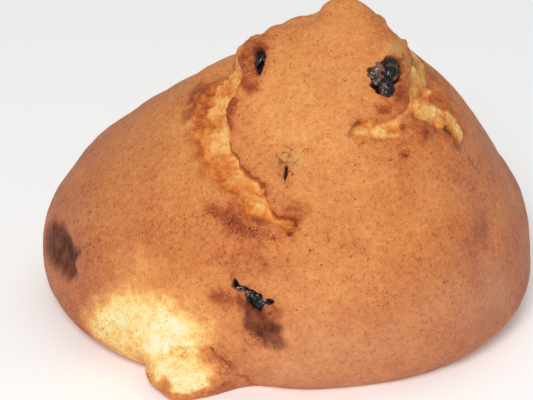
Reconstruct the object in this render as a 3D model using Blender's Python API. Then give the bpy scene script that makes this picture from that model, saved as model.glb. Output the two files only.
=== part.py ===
"""A fruit tea bun: one domed, baked bun with a split crust, and the raisins that show in it.

Run it with  blender --background --python part.py  or from Blender's text editor.
Metres, +Z up. The origin is the middle of the bun's outline on the surface it stands on, and -Y is
its front. The bun is one solid. Each raisin is a solid of its own in an open pocket of the bun.

Places on the bun are given as a bearing in degrees (0 at +X, -90 at the front) and a height in mm.
"""

from dataclasses import dataclass

import bmesh
import bpy
import numpy as np
from mathutils import Matrix, Vector

MM = 0.001

# ---------------------------------------------------------------------------------------------
# Driving sizes: the bun's four side profiles, read at the same heights, from the base upwards.
# ---------------------------------------------------------------------------------------------
HEIGHTS = MM * np.array([0.0, 3.4, 8.7, 19.4, 31.0, 41.6, 50.3, 59.0])
LEFT = MM * np.array([-40.9, -44.7, -46.1, -44.1, -34.7, -21.4, -9.3, 11.9])
RIGHT = MM * np.array([41.1, 44.9, 46.5, 44.5, 38.0, 31.2, 22.8, 11.9])
FRONT = MM * np.array([-35.4, -38.3, -39.5, -37.7, -31.3, -22.6, -12.8, 3.9])
BACK = MM * np.array([37.6, 40.6, 41.6, 38.5, 30.3, 20.3, 10.7, 3.9])
FRONT_RIGHT_FULLNESS = 0.03  # how much rounder than an ellipse that quarter is
BASE_SHARE = 0.24  # of the way from the peak to the middle of the base, the part that is base

# The face that was baked on the tray, and the low slope from it out to the bun's edge
TRAY_FACE_SIDES = 8
TRAY_FACE_RADIUS = 34 * MM
TRAY_FACE_SLOPE = 0.04
TRAY_REACH = 60 * MM
TRIM = 0.8 * MM  # how much of the dome's foot the tray trims off

CRUST_TRIANGLES = 9000
POCKET_GAP = 0.36 * MM

# The foot: dough that spread out over the tray at the front left
FOOT_REACH = 8.8 * MM
FOOT_BEARINGS = (-124.5, -122.0, -114.0, -108.0, -99.0)
FOOT_AROUND = (0.0, 0.52, 1.0, 0.70, 0.0)
FOOT_HEIGHTS = MM * np.array([0.0, 1.4, 3.0, 5.0, 6.6, 8.4])
FOOT_UPWARDS = np.array([0.93, 1.0, 0.84, 0.40, 0.09, 0.0])


@dataclass(frozen=True)
class Crack:
    """A split in the crust. Its burst side, on the left of its path, stands higher than the other.

    path holds (bearing, height, width on its left, width on its right), widths in mm, tip to tip.
    """

    path: tuple
    depth: float
    rise: float
    ridge: float


@dataclass(frozen=True)
class Mound:
    """A rounded bump, or with a negative lift a dent; edge is how much of its radius is its slope."""

    bearing: float
    height: float
    radius: float
    lift: float
    edge: float = 1.0


@dataclass(frozen=True)
class Raisin:
    """A raisin in the crust: its three sizes along, across and out of the surface, in mm.

    turn is the angle of its length from level, and sunk how far its middle is under the crust.
    """

    name: str
    bearing: float
    height: float
    size: tuple
    turn: float
    sunk: float


CRACKS = (
    Crack(
        path=(
            (128.0, 54.0, 0.0, 0.0),
            (150.0, 51.0, 0.9, 1.0),
            (161.5, 49.9, 1.1, 1.3),
            (-173.5, 49.9, 1.7, 2.0),
            (-160.0, 48.5, 2.8, 2.6),
            (-153.5, 46.7, 3.6, 2.6),
            (-148.5, 44.7, 2.6, 2.6),
            (-140.0, 42.4, 3.1, 3.0),
            (-131.0, 40.3, 3.0, 2.8),
            (-122.5, 38.6, 2.8, 2.8),
            (-113.0, 36.6, 2.4, 2.6),
            (-105.0, 34.3, 2.2, 2.2),
            (-99.5, 32.6, 1.3, 1.3),
            (-96.5, 31.8, 0.7, 0.7),
            (-92.5, 31.2, 1.1, 1.3),
            (-89.5, 30.6, 0.0, 0.0),
        ),
        depth=1.5,
        rise=1.3,
        ridge=0.45,
    ),
    Crack(
        path=(
            (-77.0, 43.4, 0.0, 0.0),
            (-73.5, 44.4, 0.9, 0.9),
            (-64.0, 44.4, 1.6, 1.7),
            (-58.0, 44.3, 1.6, 1.9),
            (-50.5, 45.2, 1.5, 1.5),
            (-42.0, 46.1, 1.5, 1.5),
            (-33.0, 47.5, 1.6, 1.7),
            (-23.5, 49.1, 1.5, 1.5),
            (-12.0, 50.4, 1.3, 1.3),
            (5.0, 51.2, 1.0, 1.0),
            (22.0, 52.4, 0.0, 0.0),
        ),
        depth=1.0,
        rise=1.2,
        ridge=0.4,
    ),
    Crack(
        path=(
            (-39.0, 45.5, 1.3, 1.3),
            (-32.5, 44.6, 1.1, 1.3),
            (-26.5, 43.2, 1.3, 1.5),
            (-24.0, 41.6, 1.5, 1.5),
            (-24.0, 39.7, 1.1, 0.9),
            (-24.5, 37.9, 0.6, 0.6),
            (-25.0, 35.0, 0.0, 0.0),
        ),
        depth=0.9,
        rise=0.0,
        ridge=0.35,
    ),
)

MOUNDS = (
    Mound(130.0, 58.6, 5.5, 0.9),  # the nub on the peak
    Mound(-172.0, 57.2, 3.2, -1.0),  # the dip beside it
    Mound(153.0, 54.6, 4.5, 0.5),
    Mound(-47.5, 42.3, 3.2, 1.5),  # a burnt blister below the right split
    Mound(-14.0, 45.0, 4.5, 0.8),
    Mound(-100.0, 39.5, 4.0, 0.5),
    Mound(-32.0, 24.4, 5.0, -0.5),
    Mound(-158.0, 16.8, 6.4, -1.3, 0.45),  # the dented, dark patch on the left
    Mound(-96.0, 14.7, 5.0, 0.8),
    Mound(-108.0, 32.0, 3.5, 0.4),
    Mound(-93.0, 32.0, 2.5, 0.6),
    Mound(40.0, 30.0, 9.0, 0.6),
    Mound(100.0, 36.0, 8.0, -0.5),
    Mound(160.0, 28.0, 9.0, 0.5),
)

RAISINS = (
    Raisin("raisin_cap_right", -50.0, 50.4, (8.0, 6.2, 5.0), 78.0, 0.6),
    Raisin("raisin_cap_left", -141.0, 51.6, (6.0, 2.9, 4.0), 82.0, 0.3),
    Raisin("raisin_front", -98.0, 19.4, (8.2, 5.0, 4.6), -32.0, 0.7),
    Raisin("raisin_back_left", 118.0, 38.0, (7.6, 5.6, 4.8), 20.0, 0.7),
    Raisin("raisin_back_right", 58.0, 22.0, (8.4, 5.8, 4.8), -48.0, 0.8),
)


# ---------------------------------------------------------------------------------------------
# The blank: a smooth dome through the four profiles, on a flat base
# ---------------------------------------------------------------------------------------------
def smooth(low, high, value):
    """0 below low, 1 above high, and an even ramp between."""
    share = np.clip((value - low) / (high - low), 0, 1)
    return share * share * (3 - 2 * share)


def spline(values, at, level_end=False):
    """A smooth curve through evenly spaced values, read at positions 0 to len(values) - 1.

    level_end makes the curve level at its far end. Otherwise it runs straight on there.
    """
    last = len(values) - 1
    after = values[-2] if level_end else 2 * values[-1] - values[-2]
    knots = np.concatenate([[2 * values[0] - values[1]], values, [after]])
    at = np.clip(at, 0, last)
    start = np.minimum(np.asarray(at).astype(int), last - 1)
    share = at - start
    a, b, c, d = (knots[start + k] for k in range(4))
    bend = 2 * a - 5 * b + 4 * c - d + share * (3 * (b - c) + d - a)
    return b + share / 2 * (c - a + share * bend)


def dome_point(bearing, level):
    """The dome at a bearing in radians and a level: 0 at the base, 7 at the peak."""
    left, right, front, back = (spline(side, level) for side in (LEFT, RIGHT, FRONT, BACK))
    quarter = np.clip(np.cos(bearing), 0, 1) * np.clip(-np.sin(bearing), 0, 1)
    fuller = 1 + FRONT_RIGHT_FULLNESS * (2 * quarter) ** 2
    x = (left + right) / 2 + (right - left) / 2 * np.cos(bearing) * fuller
    y = (front + back) / 2 + (back - front) / 2 * np.sin(bearing) * fuller
    return np.stack([x, y, spline(HEIGHTS, level, level_end=True)], axis=-1)


ALL_LEVELS = np.linspace(0, len(HEIGHTS) - 1, 400)
LEVEL_HEIGHTS = spline(HEIGHTS, ALL_LEVELS, level_end=True)


def on_dome(bearing, height):
    """The place on the dome at a bearing in degrees and a height in mm."""
    level = np.interp(height * MM, LEVEL_HEIGHTS, ALL_LEVELS)
    return dome_point(np.radians(bearing), level)


def profile_lengths():
    """The length of the mean profile from the base up to each level, as a share of the whole."""
    sides = [dome_point(np.full(400, b), ALL_LEVELS) for b in np.radians((0, 90, 180, 270))]
    steps = np.mean([np.linalg.norm(np.diff(side, axis=0), axis=1) for side in sides], axis=0)
    lengths = np.concatenate([[0], np.cumsum(steps)])
    return lengths / lengths[-1]


def blank(directions):
    """The blank's surface for each direction from its middle: the dome, the foot and the base."""
    bearing = np.arctan2(directions[:, 1], directions[:, 0])
    from_top = np.arccos(np.clip(directions[:, 2], -1, 1)) / np.pi
    dome_share = 1 - BASE_SHARE
    level = np.interp(1 - from_top / dome_share, profile_lengths(), ALL_LEVELS)
    points = dome_point(bearing, level)

    # Dough that spread over the tray
    around = np.interp(np.degrees(bearing), FOOT_BEARINGS, FOOT_AROUND)
    upwards = np.interp(points[:, 2], FOOT_HEIGHTS, FOOT_UPWARDS)
    reach = FOOT_REACH * around * upwards
    points[:, 0] += reach * np.cos(bearing)
    points[:, 1] += reach * np.sin(bearing)

    # Inside the rim the base is flat, a little under the tray that trims it
    inwards = np.clip((from_top - dome_share) / BASE_SHARE, 0, 1)
    points = points * (1 - inwards)[:, None]
    points[:, 2] -= TRIM * (1 - smooth(0, 3 * MM, points[:, 2]))
    return points


# ---------------------------------------------------------------------------------------------
# Relief of the crust, as heights along its normals
# ---------------------------------------------------------------------------------------------
def value_noise(points, size, seed):
    """Soft random hills between -1 and 1, about as wide as size."""
    cells = 16
    heights = np.random.default_rng(seed).uniform(-1, 1, (cells, cells, cells))
    at = points / size
    corner = np.floor(at).astype(int)
    share = at - corner
    share = share * share * (3 - 2 * share)
    total = 0
    for dx in (0, 1):
        for dy in (0, 1):
            for dz in (0, 1):
                index = (corner + (dx, dy, dz)) % cells
                weight = np.prod(np.where((dx, dy, dz), share, 1 - share), axis=1)
                total = total + weight * heights[index[:, 0], index[:, 1], index[:, 2]]
    return total


def across_path(points, normals, path):
    """How far each point is to the left of a path over the dome, and the width there, in mm."""
    places = [on_dome(stop[0], stop[1]) for stop in path]
    distance = np.full(len(points), np.inf)
    side = np.ones(len(points))
    width = np.zeros(len(points))
    for k, (start, end) in enumerate(zip(places[:-1], places[1:])):
        step = end - start
        share = np.clip((points - start) @ step / (step @ step), 0, 1)
        offset = points - start - share[:, None] * step
        length = np.linalg.norm(offset, axis=1) / MM
        nearer = length < distance
        left = np.sum(np.cross(step, offset) * normals, axis=1) > 0
        distance = np.where(nearer, length, distance)
        side = np.where(nearer, np.where(left, 1, -1), side)
        column = np.where(left, 2, 3)
        first = np.array(path[k])[column]
        second = np.array(path[k + 1])[column]
        width = np.where(nearer, first * (1 - share) + second * share, width)
    return distance * side, width


def crack_relief(points, normals, crack):
    """The split's floor, the high lip on its burst side and the toasted ridge on the other, in mm."""
    wobble = 0.4 * value_noise(points, 2.6 * MM, 11)
    across, width = across_path(points, normals, crack.path)
    across = across + wobble * smooth(0, 1.5, width)
    full = smooth(0, 1.4, width)
    bank = 0.75
    inside = 1 - smooth(width - bank, width + bank, np.abs(across))
    burst = smooth(width - bank, width + bank, across)
    other = smooth(width - bank, width + bank, -across)
    beyond = np.maximum(np.abs(across) - width, 0)
    crumb = 0.35 * value_noise(points, 1.7 * MM, 12)
    lean = 0.25 * np.clip(across / np.maximum(width, 0.3), -1, 1)
    floor = -crack.depth * (1 + lean) + crumb
    lip = crack.rise * np.exp(-((beyond / 7) ** 2))
    ridge = crack.ridge * np.exp(-((beyond / 2.2) ** 2))
    return full * (inside * floor + burst * lip + other * ridge)


def mound_relief(points, mound):
    """A bump or dent on the crust, in mm."""
    middle = on_dome(mound.bearing, mound.height)
    distance = np.linalg.norm(points - middle, axis=1) / MM
    return mound.lift * (1 - smooth(mound.radius * (1 - mound.edge), mound.radius, distance))


def crust_relief(points, normals):
    """All relief of the crust, in metres. It dies away towards the base, which stays flat."""
    relief = 0.30 * value_noise(points, 11 * MM, 1) + 0.16 * value_noise(points, 4.6 * MM, 2)
    for mound in MOUNDS:
        relief = relief + mound_relief(points, mound)
    for crack in CRACKS:
        relief = relief + crack_relief(points, normals, crack)
    for raisin in RAISINS:
        middle = on_dome(raisin.bearing, raisin.height)
        distance = np.linalg.norm(points - middle, axis=1) / MM
        collar = (distance - max(raisin.size) / 2) / 1.6
        relief = relief + 0.35 * np.exp(-(collar**2))
    return relief * MM * smooth(-TRIM, 4 * MM, points[:, 2])


# ---------------------------------------------------------------------------------------------
# Blender objects
# ---------------------------------------------------------------------------------------------
def clear_scene():
    for item in list(bpy.data.objects):
        bpy.data.objects.remove(item, do_unlink=True)
    for stored in (bpy.data.meshes, bpy.data.materials, bpy.data.collections):
        for item in list(stored):
            stored.remove(item)


def make_collection(name, hidden=False):
    made = bpy.data.collections.new(name)
    bpy.context.scene.collection.children.link(made)
    made.hide_render = hidden
    return made


def make_material(name, color, roughness):
    made = bpy.data.materials.new(name)
    made.use_nodes = True
    surface = made.node_tree.nodes["Principled BSDF"]
    surface.inputs["Base Color"].default_value = (*color, 1)
    surface.inputs["Roughness"].default_value = roughness
    made.diffuse_color = (*color, 1)
    return made


def make_object(name, bm, collection, material):
    mesh = bpy.data.meshes.new(name)
    bm.to_mesh(mesh)
    bm.free()
    if material:
        mesh.materials.append(material)
    made = bpy.data.objects.new(name, mesh)
    collection.objects.link(made)
    return made


def apply_modifiers(target):
    """Turn an object's modifiers into plain mesh."""
    graph = bpy.context.evaluated_depsgraph_get()
    mesh = bpy.data.meshes.new_from_object(target.evaluated_get(graph))
    target.modifiers.clear()
    target.data = mesh


def positions(bm):
    return np.array([vert.co for vert in bm.verts])


def move_verts(bm, points):
    for vert, point in zip(bm.verts, points):
        vert.co = point
    bm.normal_update()


def make_crust(collection, material):
    """The bun itself: a round blank moved onto its shape, then pressed into relief."""
    bm = bmesh.new()
    bmesh.ops.create_icosphere(bm, subdivisions=7, radius=1)
    move_verts(bm, blank(positions(bm)))
    points = positions(bm)
    normals = np.array([vert.normal for vert in bm.verts])
    relief = crust_relief(points, normals)
    move_verts(bm, points + normals * relief[:, None])

    crust = make_object("bun", bm, collection, material)
    lighten = crust.modifiers.new("Fewer triangles", "DECIMATE")
    lighten.ratio = CRUST_TRIANGLES / len(crust.data.polygons)
    apply_modifiers(crust)
    return crust


def make_tray_side(cutters):
    """All the room above the tray: a many-sided face, a low slope round it, and upright walls."""
    bm = bmesh.new()
    slope_rise = TRAY_FACE_SLOPE * (TRAY_REACH - TRAY_FACE_RADIUS)
    rings = []
    for radius, height in ((TRAY_FACE_RADIUS, 0), (TRAY_REACH, slope_rise), (TRAY_REACH, 0.1)):
        turns = np.arange(TRAY_FACE_SIDES) * 2 * np.pi / TRAY_FACE_SIDES
        rings.append([bm.verts.new((radius * np.cos(t), radius * np.sin(t), height)) for t in turns])
    for lower, upper in zip(rings[:-1], rings[1:]):
        for k in range(TRAY_FACE_SIDES):
            bm.faces.new((lower[k - 1], lower[k], upper[k], upper[k - 1]))
    bm.faces.new(rings[0])
    bm.faces.new(rings[-1])
    bmesh.ops.recalc_face_normals(bm, faces=bm.faces)
    made = make_object("tray_side", bm, cutters, None)
    made.display_type = "WIRE"
    return made


def add_boolean(target, cutter, operation):
    cut = target.modifiers.new(cutter.name, "BOOLEAN")
    cut.operation = operation
    cut.solver = "EXACT"
    cut.object = cutter


def raisin_frame(raisin):
    """The raisin's place: its length turned in the surface, its third axis out of the crust."""
    here = on_dome(raisin.bearing, raisin.height)
    around = Vector(on_dome(raisin.bearing + 1, raisin.height) - here).normalized()
    upwards = Vector(on_dome(raisin.bearing, raisin.height + 0.4) - here)
    out = around.cross(upwards).normalized()
    length = Matrix.Rotation(np.radians(raisin.turn), 3, out) @ around
    width = out.cross(length)
    middle = Vector(here) - out * raisin.sunk * MM
    axes = Matrix((length, width, out)).transposed()
    return Matrix.Translation(middle) @ axes.to_4x4()


def make_raisin(raisin, seed, collection, cutters, material):
    """A wrinkled raisin, and the smooth cutter of its pocket."""
    half = Vector(raisin.size) * MM / 2
    frame = raisin_frame(raisin)
    made = []
    for name, grown in ((raisin.name, 0), (raisin.name + "_pocket", POCKET_GAP)):
        bm = bmesh.new()
        bmesh.ops.create_icosphere(bm, subdivisions=3, radius=1)
        round_points = positions(bm)
        points = round_points * (np.array(half) + grown)
        if not grown:
            folds = 1 - np.abs(value_noise(round_points, 0.62, seed))
            points = points * (1 - 0.22 * folds[:, None] ** 3)
        move_verts(bm, points)
        bmesh.ops.transform(bm, matrix=frame, verts=bm.verts)
        bm.normal_update()
        made.append(make_object(name, bm, cutters if grown else collection, material))
    made[1].display_type = "WIRE"
    return made


def main():
    clear_scene()
    tea_bun = make_collection("Tea bun")
    cutters = make_collection("Cutters", hidden=True)
    crust_brown = make_material("Baked crust", (0.70, 0.36, 0.15), 0.6)
    raisin_black = make_material("Raisin skin", (0.030, 0.018, 0.014), 0.3)

    crust = make_crust(tea_bun, crust_brown)
    add_boolean(crust, make_tray_side(cutters), "INTERSECT")
    for seed, raisin in enumerate(RAISINS):
        _, pocket = make_raisin(raisin, seed + 30, tea_bun, cutters, raisin_black)
        add_boolean(crust, pocket, "DIFFERENCE")
    bpy.context.view_layer.update()
    apply_modifiers(crust)


if __name__ == "__main__":
    main()
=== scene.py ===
"""A fruit tea bun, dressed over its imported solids.

The bun is one closed mesh: a dome through four side profiles, with the relief of its crust, its
splits and its raisin pockets worked out vertex by vertex. The same masks that shape it are kept as
attributes, so that the crust's finish follows its form. Raisins and loose crumb are separate meshes.

Metres, +Z up, with the front at -Y. A place on the bun is a bearing in degrees (0 at +X, -90 at the
front) and a height in millimetres.
"""

import logging
from dataclasses import dataclass, field
from enum import Enum
from typing import Any

import bmesh
import bpy
import numpy as np
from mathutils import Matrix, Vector

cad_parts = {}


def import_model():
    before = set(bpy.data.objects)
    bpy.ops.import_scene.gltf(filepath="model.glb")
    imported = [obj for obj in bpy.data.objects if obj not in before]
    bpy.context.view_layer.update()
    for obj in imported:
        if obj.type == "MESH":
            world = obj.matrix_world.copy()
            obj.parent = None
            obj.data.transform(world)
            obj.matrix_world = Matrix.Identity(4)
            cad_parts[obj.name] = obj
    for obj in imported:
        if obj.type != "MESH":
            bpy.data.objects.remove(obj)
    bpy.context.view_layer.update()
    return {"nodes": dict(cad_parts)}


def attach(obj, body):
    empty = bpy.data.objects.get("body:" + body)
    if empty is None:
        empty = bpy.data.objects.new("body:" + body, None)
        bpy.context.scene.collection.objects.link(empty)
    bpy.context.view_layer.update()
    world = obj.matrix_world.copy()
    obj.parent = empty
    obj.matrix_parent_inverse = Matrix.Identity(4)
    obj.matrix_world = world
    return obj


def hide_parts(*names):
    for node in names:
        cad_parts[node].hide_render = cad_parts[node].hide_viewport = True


frame: dict[str, Any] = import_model()

log = logging.getLogger("tea_bun")

MM = 0.001
Array = np.ndarray


# ---------------------------------------------------------------------------------------------
# Small tools
# ---------------------------------------------------------------------------------------------
def smooth(low: float | Array, high: float | Array, value: Array) -> Array:
    """An even ramp.

    Args:
        low: Where the ramp starts.
        high: Where the ramp ends.
        value: What is read.

    Returns:
        0 below low, 1 above high, and a smooth ramp between.
    """
    share = np.clip((value - low) / (high - low), 0, 1)
    return share * share * (3 - 2 * share)


def bell(value: Array, width: float) -> Array:
    """A soft hump: 1 where the value is 0, and nearly 0 two widths away."""
    return np.exp(-((value / width) ** 2))


def value_noise(points: Array, size: float, seed: int) -> Array:
    """Soft random hills.

    Args:
        points: Places, one a row.
        size: How wide a hill is, in the points' own unit.
        seed: Which set of hills.

    Returns:
        A height between -1 and 1 for each place.
    """
    cells = 16
    heights = np.random.default_rng(seed).uniform(-1, 1, (cells, cells, cells))
    at = points / size
    corner = np.floor(at).astype(int)
    share = at - corner
    share = share * share * (3 - 2 * share)
    total = np.zeros(len(points))
    for offset in np.ndindex(2, 2, 2):
        index = (corner + offset) % cells
        weight = np.prod(np.where(offset, share, 1 - share), axis=1)
        total += weight * heights[index[:, 0], index[:, 1], index[:, 2]]
    return total


def hills(points: Array, *layers: tuple[float, float, int]) -> Array:
    """Layers of soft random hills.

    Args:
        points: Places, one a row, in metres.
        layers: Each layer's height, the width of its hills in millimetres, and its seed.

    Returns:
        The sum of the layers at each place.
    """
    return sum(height * value_noise(points, size * MM, seed) for height, size, seed in layers)


def srgb(code: str) -> tuple[float, float, float, float]:
    """A colour for a shader.

    Args:
        code: An sRGB hex value, such as "#da8750".

    Returns:
        The linear colour, with an alpha of 1.
    """
    parts = [int(code[k : k + 2], 16) / 255 for k in (1, 3, 5)]
    linear = [c / 12.92 if c <= 0.04045 else ((c + 0.055) / 1.055) ** 2.4 for c in parts]
    return (*linear, 1.0)


def wire(node: Any, inputs: dict) -> None:
    """Set a node's inputs by name or number, or link those whose value is an output socket."""
    for name, value in inputs.items():
        if isinstance(value, bpy.types.NodeSocket):
            node.id_data.links.new(value, node.inputs[name])
        else:
            node.inputs[name].default_value = value


def add_node(tree: Any, kind: str, inputs: dict | None = None, out: Any = 0, **settings: Any) -> Any:
    """Add one node with its settings and links.

    Args:
        tree: The node tree.
        kind: The node's type, where "ShaderNode" is left out in front of a short one.
        inputs: Values or output sockets, by the input's name or number.
        out: Which output is wanted, by name or number.
        settings: The node's own properties.

    Returns:
        That output's socket, or None where the node has no outputs.
    """
    node = tree.nodes.new(kind if "Node" in kind else "ShaderNode" + kind)
    for name, value in settings.items():
        setattr(node, name, value)
    wire(node, inputs or {})
    return node.outputs[out] if node.outputs else None


def new_material(name: str) -> tuple[bpy.types.Material, bpy.types.NodeTree, bpy.types.Node]:
    """Start a material, and give its node tree and its surface's node with it."""
    made = bpy.data.materials.new(name)
    made.use_nodes = True
    return made, made.node_tree, made.node_tree.nodes["Principled BSDF"]


def make_object(
    name: str, bm: bmesh.types.BMesh, finish: bpy.types.Material, masks: dict[str, Array] | None = None
) -> bpy.types.Object:
    """Turn a finished bmesh into an object at the origin.

    Args:
        name: The object's name.
        bm: The mesh, which is freed.
        finish: Its material.
        masks: Values for its vertices, by the attribute's name.

    Returns:
        The object, in the scene.
    """
    mesh = bpy.data.meshes.new(name)
    bm.to_mesh(mesh)
    bm.free()
    mesh.shade_smooth()
    for mask, values in (masks or {}).items():
        attribute = mesh.attributes.new(mask, "FLOAT", "POINT")
        attribute.data.foreach_set("value", values.astype(np.float32))
    mesh.materials.append(finish)
    made = bpy.data.objects.new(name, mesh)
    bpy.context.scene.collection.objects.link(made)
    return made


# ---------------------------------------------------------------------------------------------
# The dome
# ---------------------------------------------------------------------------------------------
@dataclass(frozen=True)
class Dome:
    """The bun's blank: a smooth dome through four side profiles, on a flat base.

    Each profile is read at the same heights, from the base to the peak, in millimetres.
    """

    heights: tuple = (0, 3.4, 8.7, 19.4, 31, 41.6, 50.3, 59)
    left: tuple = (-40.9, -44.7, -46.1, -44.1, -34.7, -21.4, -9.3, 11.9)
    right: tuple = (41.1, 44.4, 46.1, 44.4, 38, 31.2, 22.8, 11.9)
    front: tuple = (-35.4, -38.3, -39.5, -37.7, -31.3, -22.6, -12.8, 3.9)
    back: tuple = (37.6, 40.6, 41.6, 38.5, 30.3, 20.3, 10.7, 3.9)
    front_right_fullness: float = 0.04
    base_share: float = 0.24
    foot_reach: float = 8.8
    foot_bearings: tuple = (-124.5, -122.5, -114, -108, -103, -98.5, -94, -86)
    foot_around: tuple = (0, 0.52, 0.99, 0.51, 0.04, -0.14, -0.10, 0)
    foot_heights: tuple = (0, 1.4, 3, 5, 6.6, 8.4)
    foot_upwards: tuple = (0.93, 1, 0.84, 0.40, 0.09, 0)

    def curve(self, values: tuple, at: Array, level_end: bool = False) -> Array:
        """A smooth curve through evenly spaced values.

        Args:
            values: The values, in millimetres.
            at: Positions, from 0 to the number of values less one.
            level_end: Whether the curve is level at its far end.

        Returns:
            The curve at those positions, in metres.
        """
        line = np.array(values) * MM
        last = len(line) - 1
        after = line[-2] if level_end else 2 * line[-1] - line[-2]
        knots = np.concatenate([[2 * line[0] - line[1]], line, [after]])
        at = np.clip(at, 0, last)
        start = np.minimum(np.asarray(at).astype(int), last - 1)
        share = at - start
        a, b, c, d = (knots[start + k] for k in range(4))
        bend = 2 * a - 5 * b + 4 * c - d + share * (3 * (b - c) + d - a)
        return b + share / 2 * (c - a + share * bend)

    def point(self, bearing: Array, level: Array) -> Array:
        """A place on the dome.

        Args:
            bearing: Bearings in radians.
            level: Levels, from 0 at the base to 7 at the peak.

        Returns:
            The places, one a row, in metres.
        """
        sides = (self.left, self.right, self.front, self.back)
        left, right, front, back = (self.curve(side, level) for side in sides)
        quarter = np.clip(np.cos(bearing), 0, 1) * np.clip(-np.sin(bearing), 0, 1)
        fuller = 1 + self.front_right_fullness * (2 * quarter) ** 2
        x = (left + right) / 2 + (right - left) / 2 * np.cos(bearing) * fuller
        y = (front + back) / 2 + (back - front) / 2 * np.sin(bearing) * fuller
        return np.stack([x, y, self.curve(self.heights, level, level_end=True)], axis=-1)

    def all_levels(self) -> Array:
        """Evenly spaced levels from the base to the peak."""
        return np.linspace(0, len(self.heights) - 1, 400)

    def place(self, bearing: float, height: float) -> Array:
        """The place on the dome at a bearing in degrees and a height in millimetres."""
        levels = self.all_levels()
        level = np.interp(height * MM, self.curve(self.heights, levels, level_end=True), levels)
        return self.point(np.radians(bearing), level)

    def axes(self, bearing: float, height: float, turn: float = 0) -> tuple[Array, Array, Array]:
        """Three unit directions at a place on the dome.

        Args:
            bearing: The place's bearing in degrees.
            height: The place's height in millimetres.
            turn: The angle of the first direction from level, in degrees.

        Returns:
            Two directions along the surface, square to each other, and the one out of it.
        """
        around = self.place(bearing + 1, height) - self.place(bearing - 1, height)
        around = around / np.linalg.norm(around)
        rising = self.place(bearing, height + 0.3) - self.place(bearing, height - 0.3)
        out = np.cross(around, rising)
        out = out / np.linalg.norm(out)
        rising = np.cross(out, around)
        cos, sin = np.cos(np.radians(turn)), np.sin(np.radians(turn))
        return around * cos + rising * sin, rising * cos - around * sin, out

    def foot(self, bearing: Array) -> Array:
        """How far the foot spreads at each bearing, in shares of its reach, with rounded corners."""
        turns = np.linspace(-1.6, 1.6, 9)
        return np.mean([np.interp(bearing + t, self.foot_bearings, self.foot_around) for t in turns], 0)

    def blank(self, directions: Array) -> Array:
        """The blank's surface: the dome, the foot and the base.

        Args:
            directions: Unit directions from the middle, one a row.

        Returns:
            The surface's place for each direction.
        """
        levels = self.all_levels()
        turns = np.radians((0, 90, 180, 270))
        sides = [self.point(np.full(len(levels), turn), levels) for turn in turns]
        steps = np.mean([np.linalg.norm(np.diff(side, axis=0), axis=1) for side in sides], axis=0)
        lengths = np.concatenate([[0], np.cumsum(steps)])
        bearing = np.arctan2(directions[:, 1], directions[:, 0])
        from_top = np.arccos(np.clip(directions[:, 2], -1, 1)) / np.pi
        dome_share = 1 - self.base_share
        level = np.interp(1 - from_top / dome_share, lengths / lengths[-1], levels)
        points = self.point(bearing, level)
        upwards = np.interp(points[:, 2] / MM, self.foot_heights, self.foot_upwards)
        reach = self.foot_reach * MM * self.foot(np.degrees(bearing)) * upwards
        points[:, 0] += reach * np.cos(bearing)
        points[:, 1] += reach * np.sin(bearing)
        inwards = np.clip((from_top - dome_share) / self.base_share, 0, 1)
        return points * (1 - inwards)[:, None]


DOME = Dome()


# ---------------------------------------------------------------------------------------------
# Features of the crust
# ---------------------------------------------------------------------------------------------
class Torn(Enum):
    """What shows inside a split."""

    CRUMB = "crumb"
    STRETCHED = "stretched"


def line_distance(points: Array, normals: Array, stops: tuple) -> Array:
    """How far each point is from a line over the dome.

    Args:
        points: Places on the crust.
        normals: The crust's directions there.
        stops: The line's (bearing, height) stops.

    Returns:
        The distances in millimetres, positive on the line's left.
    """
    places = [DOME.place(*stop) for stop in stops]
    distance = np.full(len(points), np.inf)
    side = np.ones(len(points))
    for start, end in zip(places[:-1], places[1:]):
        step = end - start
        share = np.clip((points - start) @ step / (step @ step), 0, 1)
        offset = points - start - share[:, None] * step
        length = np.linalg.norm(offset, axis=1)
        nearer = length < distance
        left = np.sum(np.cross(step, offset) * normals, axis=1) > 0
        distance = np.where(nearer, length, distance)
        side = np.where(nearer, np.where(left, 1, -1), side)
    return distance / MM * side


@dataclass(frozen=True)
class Split:
    """A split in the crust, between two lines over the dome that meet at both ends.

    burst_edge is the left line, and the crust beyond it stands higher. Each stop is a bearing and a
    height. wall_top is the height above which the burst edge is a sloping wall and not a step.
    """

    burst_edge: tuple
    other_edge: tuple
    depth: float
    rise: tuple = (0, 0)
    ridge: float = 0
    torn: Torn = Torn.CRUMB
    ragged: float = 0.35
    lumps: float = 1
    wall: float = 0.25
    wall_top: float = 99
    shadow: float = 0
    blur: float = 0.7
    burst_blur: float = 0.2
    toast: float = 0
    widest: float = 9

    def read(self, points: Array, normals: Array) -> tuple[Array, Array, Array, Array]:
        """Where each point is in the split.

        Args:
            points: Places on the crust.
            normals: The crust's directions there.

        Returns:
            How far inside the nearest edge each point is, in millimetres, less than 0 outside;
            whether that edge is the burst one; a share from 0 at the other edge to 1 at the burst
            one; and a share that is 0 at the split's narrow ends and 1 where it is wide.
        """
        burst = -line_distance(points, normals, self.burst_edge)
        other = line_distance(points, normals, self.other_edge)
        both = np.abs(burst) + np.abs(other)
        inside = (burst > 0) & (other > 0) & (both < self.widest)
        nearest = np.minimum(np.abs(burst), np.abs(other))
        width = np.where(inside, both, np.abs(np.abs(burst) - np.abs(other)))
        full = smooth(0, 1.6, width)
        rough = self.ragged * hills(points, (1, 2.3, 11), (0.9, 0.9, 13)) * full
        share = np.clip(np.abs(other) / np.maximum(both, 0.01), 0, 1)
        return np.where(inside, nearest, -nearest) + rough, np.abs(burst) < np.abs(other), share, full


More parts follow.
